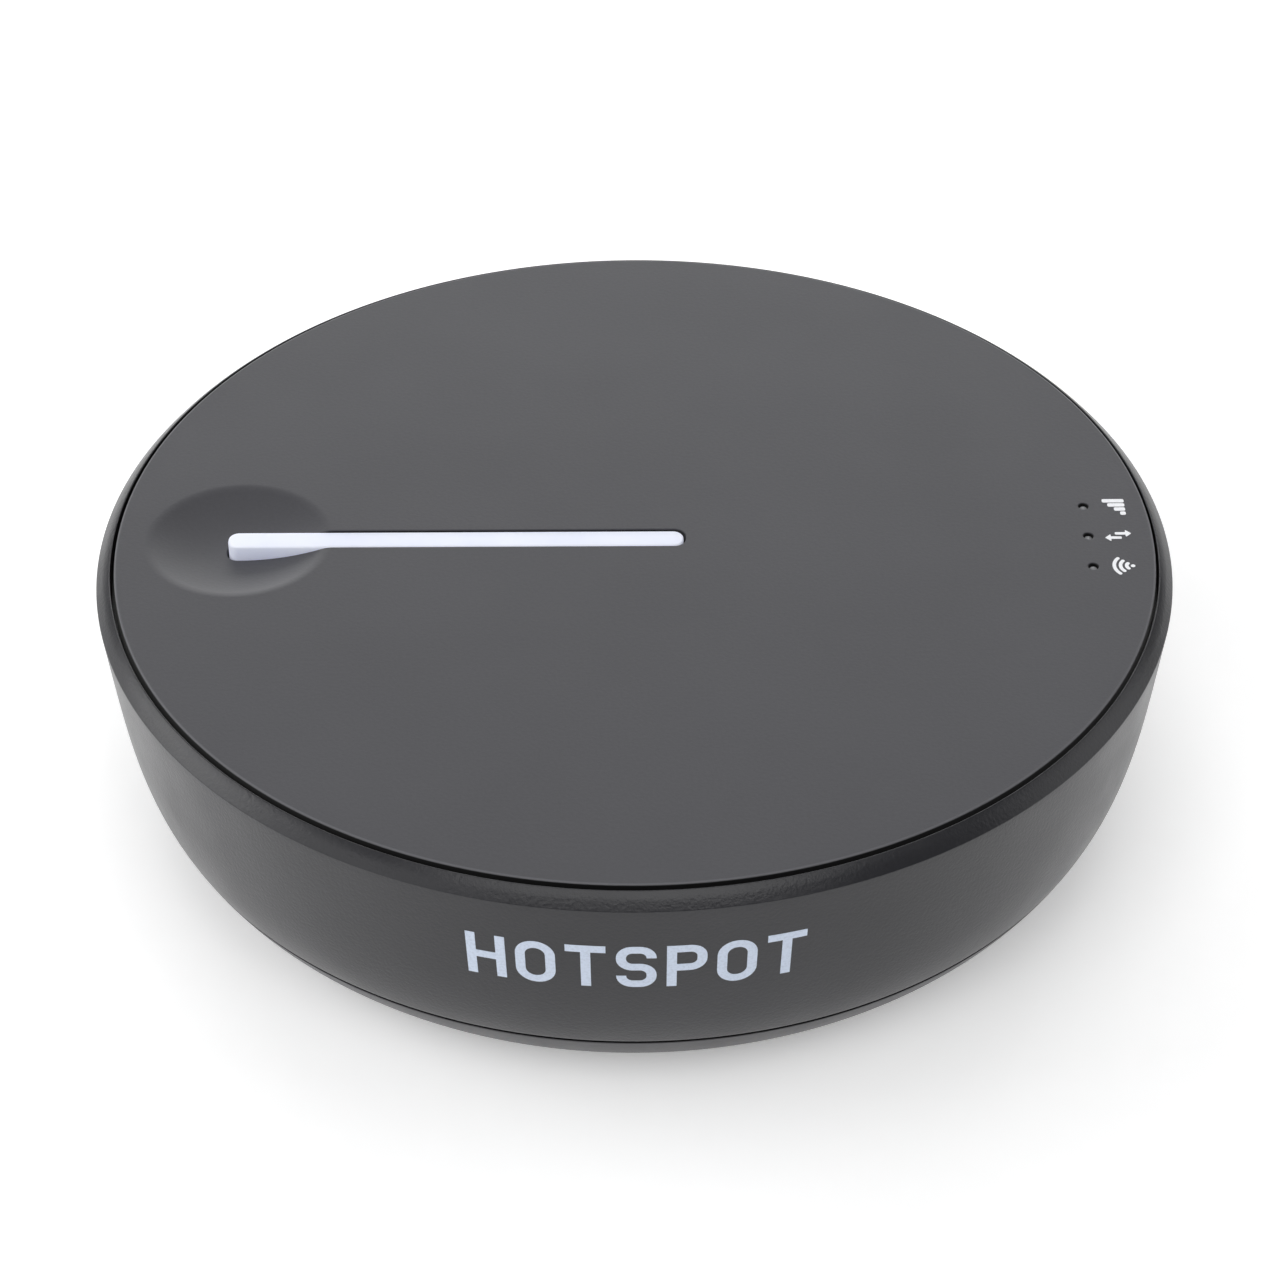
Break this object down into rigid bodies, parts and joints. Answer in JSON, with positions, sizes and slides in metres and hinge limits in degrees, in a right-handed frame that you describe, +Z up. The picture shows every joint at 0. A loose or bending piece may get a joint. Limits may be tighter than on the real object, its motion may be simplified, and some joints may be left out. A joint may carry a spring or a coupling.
{
  "type": "mobile hotspot",
  "caption": "Round puck-shaped pocket mobile hotspot with a thumb dish, a long white rocking power bar flush in the lid, indicator lights and a USB-C socket at the back.",
  "frame": {"origin": "centre of the foot's underside, on the surface it stands on", "axes": "+Z up; the marked front faces -Y, the USB-C socket +Y; the thumb dish is at -X and the indicator lights at +X"},
  "size_m": [0.085, 0.085, 0.0225],
  "materials": {
    "soft_touch_charcoal": "soft-touch charcoal coating on moulded plastic",
    "shell_charcoal": "fine matt charcoal moulded plastic",
    "white_bar": "white translucent plastic, satin",
    "foot_rubber": "matt black rubber",
    "label_film": "blank dark polyester label film",
    "chassis_black": "black glass-filled moulding",
    "board_green": "green solder mask on glass-epoxy board",
    "tinned_steel": "tin-plated pressed steel",
    "screw_steel": "nickel-plated steel",
    "aluminium_sheet": "rolled aluminium sheet",
    "gold_contact": "gold-plated spring contact",
    "battery_pouch": "silver laminated battery pouch",
    "clear_guide": "clear light-guide plastic",
    "led_package": "small ceramic light package",
    "black_resin": "black moulded resin",
    "foam_grey": "grey foam pad",
    "thermal_pad_blue": "soft blue-grey gap filler pad",
    "lead_red": "red insulated lead",
    "lead_black": "black insulated lead",
    "flex_amber": "amber polyimide flexible circuit",
    "connector_ivory": "ivory connector plastic"
  },
  "bodies": {
    "casing": {"body_shell": "shell_charcoal", "top_cover": "soft_touch_charcoal", "base_cover": "shell_charcoal", "foot_ring": "foot_rubber", "rating_label": "label_film", "bar_pivot_pin": "screw_steel", "tact_switch_body": "black_resin", "reset_switch_body": "black_resin", "light_guide": "clear_guide", "led_signal": "led_package", "led_data": "led_package", "led_wireless": "led_package", "inner_chassis": "chassis_black", "main_board": "board_green", "baseband_shield": "tinned_steel", "radio_shield": "tinned_steel", "wireless_shield": "tinned_steel", "embedded_sim": "black_resin", "charge_inductor": "black_resin", "thermal_pad": "thermal_pad_blue", "heat_spreader": "aluminium_sheet", "usb_c_shell": "tinned_steel", "usb_c_tongue": "black_resin", "battery_cell": "battery_pouch", "battery_foam_pad": "foam_grey", "battery_protection_board": "board_green", "battery_socket": "connector_ivory", "battery_plug": "connector_ivory", "battery_lead_positive": "lead_red", "battery_lead_negative": "lead_black", "antenna_carrier": "chassis_black", "lte_main_antenna": "flex_amber", "lte_diversity_antenna": "flex_amber", "wireless_lan_antenna": "flex_amber", "lte_main_contact": "gold_contact", "lte_diversity_contact": "gold_contact", "wireless_lan_contact": "gold_contact", "base_screw_1": "screw_steel", "base_screw_2": "screw_steel", "base_screw_3": "screw_steel", "base_screw_4": "screw_steel", "board_screw_1": "screw_steel", "board_screw_2": "screw_steel", "board_screw_3": "screw_steel", "board_screw_4": "screw_steel"},
    "power_bar_rocker": {"power_bar": "white_bar"},
    "power_switch_plunger": {"tact_switch_plunger": "connector_ivory"},
    "reset_plunger": {"reset_switch_plunger": "connector_ivory"}
  },
  "joints": [
    {"name": "power_bar_press", "type": "hinge", "parent": "casing", "child": "power_bar_rocker", "pos_m": [0.0056, 0, 0.0189], "axis": [0, -1, 0], "range_deg": [0, 0.5], "stiffness_Nm_per_rad": 6},
    {"name": "power_switch_press", "type": "slide", "parent": "casing", "child": "power_switch_plunger", "axis": [0, 0, -1], "range_m": [0, 0.00031]},
    {"name": "reset_press", "type": "slide", "parent": "casing", "child": "reset_plunger", "axis": [0.2588, -0.9659, 0], "range_m": [0, 0.00025], "stiffness_N_per_m": 4000}
  ],
  "couplings": [
    {"joint": "power_switch_press", "follows": "power_bar_press", "m_per_rad": 0.0346}
  ]
}
